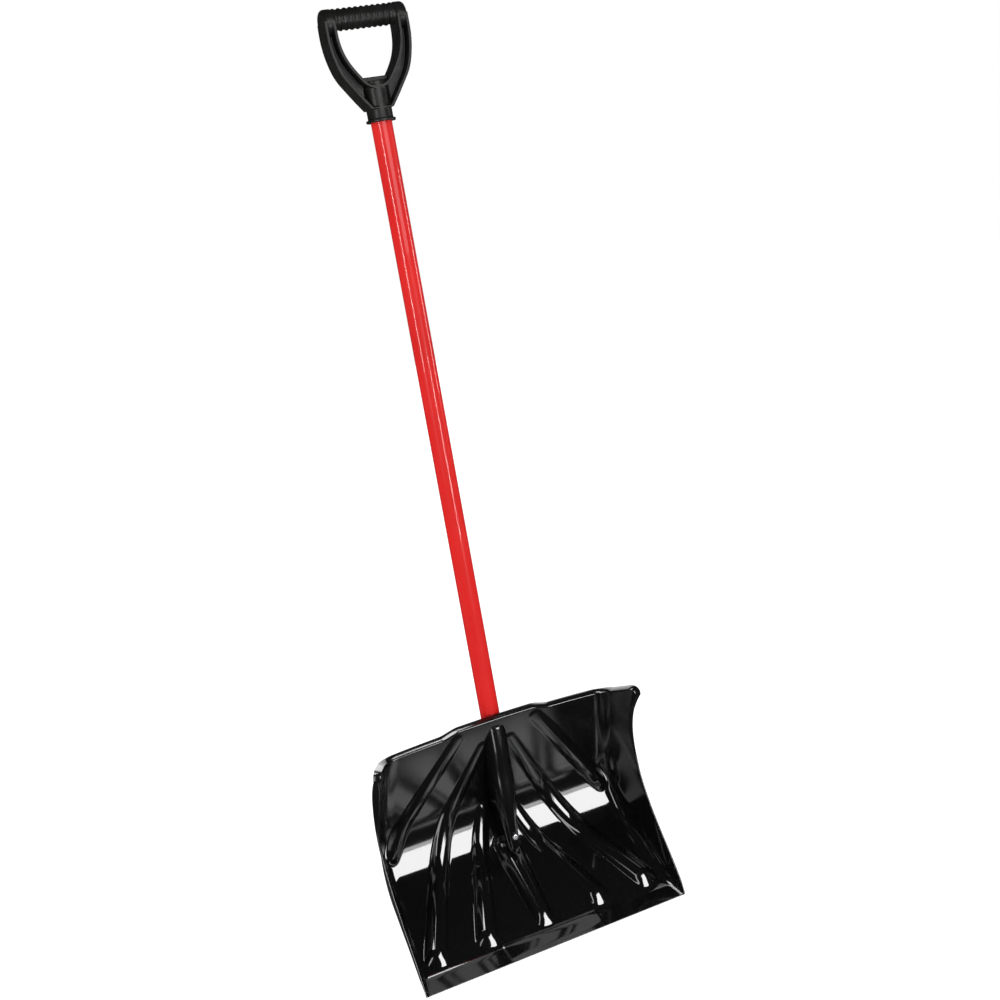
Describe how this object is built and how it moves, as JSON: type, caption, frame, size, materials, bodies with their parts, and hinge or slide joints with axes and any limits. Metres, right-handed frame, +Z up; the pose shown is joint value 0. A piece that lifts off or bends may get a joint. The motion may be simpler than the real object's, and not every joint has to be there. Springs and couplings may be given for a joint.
{
  "type": "snow shovel",
  "caption": "Snow shovel with a ribbed curved plastic scoop, a straight steel tube handle and a D-grip.",
  "frame": {"origin": "middle of the bottom face of the leading edge", "axes": "+Z up along the tube, towards the grip; the scoop opens towards -Y; X runs along the leading edge"},
  "size_m": [0.457, 0.1881, 1.4296],
  "materials": {
    "scoop_plastic": "glossy moulded polypropylene, lightly scuffed at the leading edge",
    "shaft_paint": "glossy red powder coat on steel tube",
    "grip_plastic": "satin black moulded polypropylene",
    "screw_steel": "zinc plated"
  },
  "bodies": {
    "root": {"blade": "scoop_plastic", "shaft_tube": "shaft_paint", "d_grip": "grip_plastic", "blade_screw": "screw_steel", "grip_screw": "screw_steel"}
  },
  "joints": []
}
